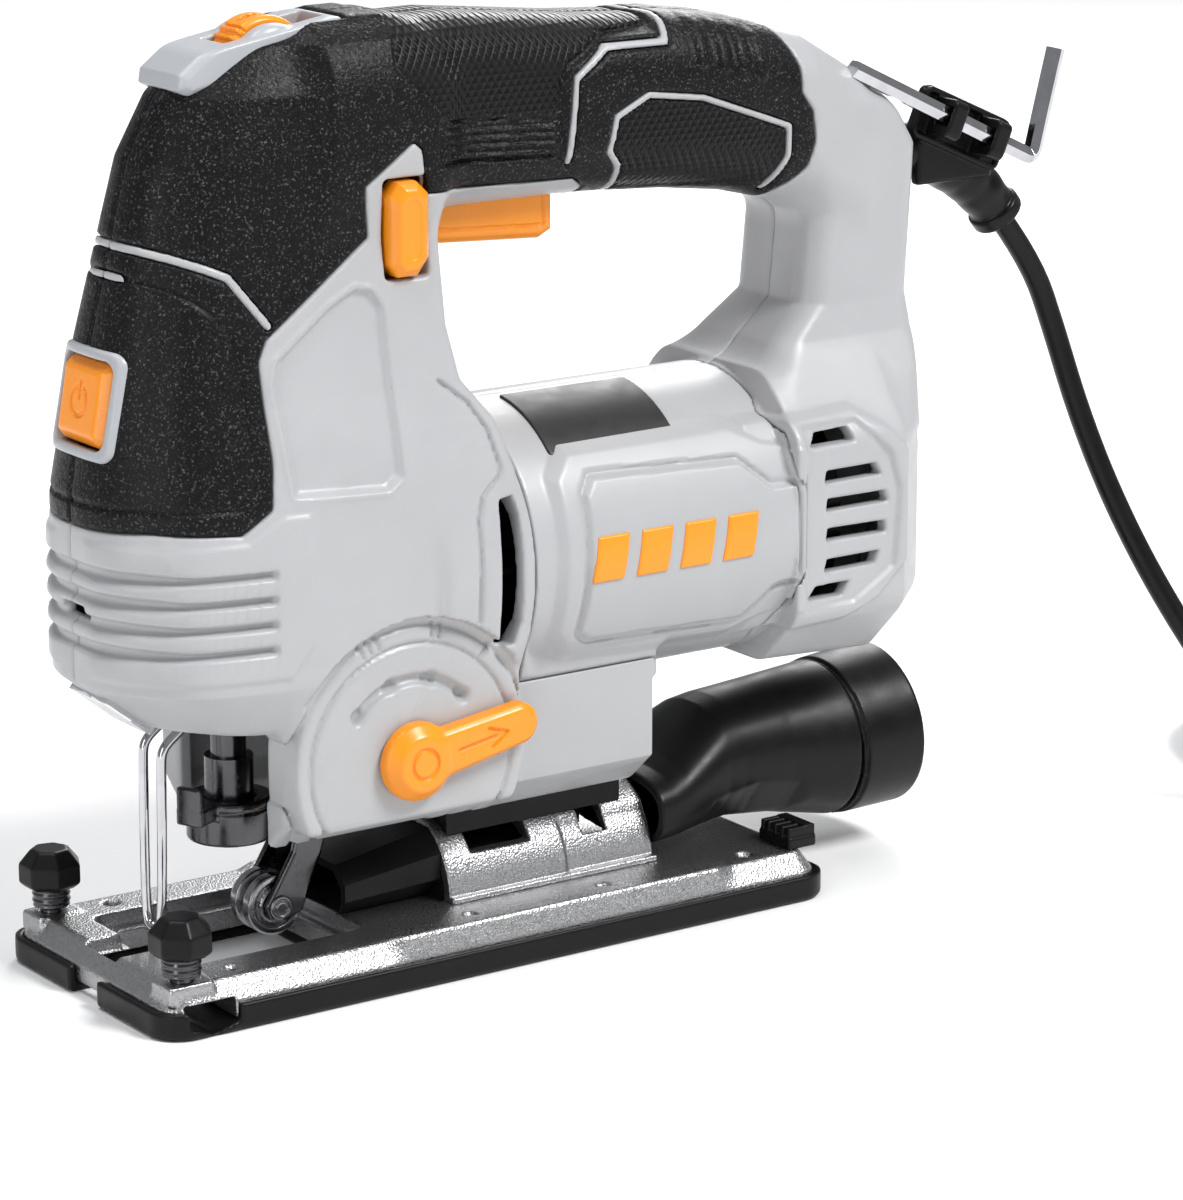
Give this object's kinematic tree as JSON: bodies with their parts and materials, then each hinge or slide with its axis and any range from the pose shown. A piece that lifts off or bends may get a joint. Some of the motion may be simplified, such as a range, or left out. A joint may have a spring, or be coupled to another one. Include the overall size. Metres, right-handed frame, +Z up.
{
  "type": "jigsaw power tool",
  "caption": "Corded orbital jigsaw with a D-shaped handle, trigger, speed dial, tilting sole plate, guide roller and dust tube.",
  "frame": {"origin": "under the middle of the tool's length, on the surface that the sole rests on", "axes": "+X to the rear where the cord leaves, +Y to the tool's right-hand side, +Z up along the plunger"},
  "size_m": [0.4106, 0.1068, 0.214],
  "materials": {
    "housing_grey": "fine moulded texture",
    "barrel_grey": "fine moulded texture",
    "grip_rubber": "textured soft overmould",
    "control_orange": "satin",
    "badge_orange": "satin",
    "label_black": "printed film",
    "sole_cast": "hammered cast",
    "black_plastic": "satin moulded",
    "dark_steel": "burnished",
    "bright_steel": "ground",
    "chrome": "polished",
    "lens": "clear",
    "frame_aluminium": "cast",
    "bronze": "sintered",
    "copper": "enamelled wire",
    "lamination": "stacked sheet",
    "fan_plastic": "satin",
    "brass": "drawn",
    "carbon": "pressed carbon",
    "circuit_board": "laminate",
    "switch_black": "satin",
    "bezel_grey": "satin",
    "cord_rubber": "smooth rubber"
  },
  "bodies": {
    "housing": {"housing_left": "housing_grey", "housing_right": "housing_grey", "motor_barrel": "barrel_grey", "grip_left": "grip_rubber", "grip_right": "grip_rubber", "housing_screws": "dark_steel", "control_bezels": "bezel_grey", "rating_label": "label_black", "side_badge": "badge_orange", "guard_wire": "bright_steel", "light_board": "circuit_board", "led_lens": "lens", "ball_bearings": "bright_steel", "stator_core": "lamination", "field_coils": "copper", "brush_holders": "brass", "carbon_brushes": "carbon", "rear_bracket": "fan_plastic", "pivot_pins": "bright_steel", "gearbox_frame": "frame_aluminium", "plunger_bushes": "bronze", "switch_module": "switch_black", "dial_potentiometer": "switch_black", "control_board": "circuit_board", "capacitor": "switch_black", "bevel_clamp": "dark_steel", "bevel_saddle": "dark_steel", "strain_relief": "cord_rubber", "key_clip": "black_plastic", "cord_coil": "cord_rubber", "cord_tube": "cord_rubber", "plug": "cord_rubber", "plug_pins": "chrome"},
    "armature": {"armature_shaft": "bright_steel", "armature_core": "lamination", "armature_windings": "copper", "commutator": "copper", "fan": "fan_plastic"},
    "gear": {"drive_gear": "dark_steel"},
    "plunger": {"plunger_rod": "dark_steel", "blade_clamp": "dark_steel"},
    "clamp_lever": {"clamp_lever": "dark_steel"},
    "selector": {"orbit_selector": "control_orange"},
    "roller_arm": {"roller_arm": "dark_steel", "roller_axle": "bright_steel"},
    "roller": {"guide_roller": "dark_steel"},
    "sole": {"sole_cover": "black_plastic", "sole_plate": "sole_cast", "bevel_bracket": "sole_cast", "dust_channel": "black_plastic", "sole_latch": "black_plastic"},
    "knob_left": {"fence_knob_left": "black_plastic"},
    "knob_right": {"fence_knob_right": "black_plastic"},
    "dust_tube": {"dust_tube": "black_plastic", "dust_adapter": "black_plastic"},
    "trigger": {"trigger": "control_orange"},
    "lock_button": {"lock_button": "control_orange"},
    "speed_dial": {"speed_dial": "control_orange"},
    "light_button": {"light_button": "control_orange"},
    "hex_key": {"hex_key": "chrome"}
  },
  "joints": [
    {"name": "armature_spin", "type": "hinge", "parent": "housing", "child": "armature", "pos_m": [0.0188, 0, 0.0893], "axis": [1, 0, 0], "continuous": true},
    {"name": "gear_spin", "type": "hinge", "parent": "housing", "child": "gear", "pos_m": [-0.0452, 0, 0.1181], "axis": [1, 0, 0], "continuous": true},
    {"name": "plunger_stroke", "type": "slide", "parent": "housing", "child": "plunger", "axis": [0, 0, 1], "range_m": [-0.008, 0.01]},
    {"name": "clamp_release", "type": "hinge", "parent": "plunger", "child": "clamp_lever", "pos_m": [-0.0729, 0, 0.036], "axis": [0, 0, 1], "range_deg": [0, 45], "stiffness_Nm_per_rad": 0.05, "springref_deg": -17.19},
    {"name": "orbit_select", "type": "hinge", "parent": "housing", "child": "selector", "pos_m": [-0.0445, -0.034, 0.0517], "axis": [0, -1, 0], "range_deg": [0, 97]},
    {"name": "roller_swing", "type": "hinge", "parent": "housing", "child": "roller_arm", "pos_m": [-0.0542, 0, 0.057], "axis": [0, 1, 0], "range_deg": [0, 3]},
    {"name": "roller_spin", "type": "hinge", "parent": "roller_arm", "child": "roller", "pos_m": [-0.0639, 0, 0.0143], "axis": [0, 1, 0], "continuous": true},
    {"name": "bevel_tilt", "type": "hinge", "parent": "housing", "child": "sole", "pos_m": [0.0018, 0, 0.0115], "axis": [1, 0, 0], "range_deg": [-45, 45]},
    {"name": "fence_screw_left", "type": "hinge", "parent": "sole", "child": "knob_left", "pos_m": [-0.1027, -0.0291, 0.012], "axis": [0, 0, 1], "range_deg": [0, 360]},
    {"name": "fence_screw_right", "type": "hinge", "parent": "sole", "child": "knob_right", "pos_m": [-0.1027, 0.0291, 0.012], "axis": [0, 0, 1], "range_deg": [0, 360]},
    {"name": "dust_tube_pull", "type": "slide", "parent": "sole", "child": "dust_tube", "axis": [1, 0, 0], "range_m": [0, 0.04]},
    {"name": "trigger_squeeze", "type": "hinge", "parent": "housing", "child": "trigger", "pos_m": [-0.0292, 0, 0.171], "axis": [0, -1, 0], "range_deg": [0, 6], "stiffness_Nm_per_rad": 0.3, "springref_deg": -8.59},
    {"name": "lock_press", "type": "slide", "parent": "housing", "child": "lock_button", "axis": [0, 1, 0], "range_m": [0, 0.003], "stiffness_N_per_m": 300, "springref_m": -0.002},
    {"name": "dial_turn", "type": "hinge", "parent": "housing", "child": "speed_dial", "pos_m": [-0.0622, 0, 0.2026], "axis": [0, 1, 0], "range_deg": [-135, 135]},
    {"name": "light_press", "type": "slide", "parent": "housing", "child": "light_button", "axis": [0.9845, 0, -0.1754], "range_m": [0, 0.0012], "stiffness_N_per_m": 400, "springref_m": -0.001},
    {"name": "key_draw", "type": "slide", "parent": "housing", "child": "hex_key", "axis": [0.9036, 0, -0.4284], "range_m": [0, 0.06]}
  ],
  "couplings": [
    {"joint": "gear_spin", "follows": "armature_spin", "ratio": -0.2}
  ]
}
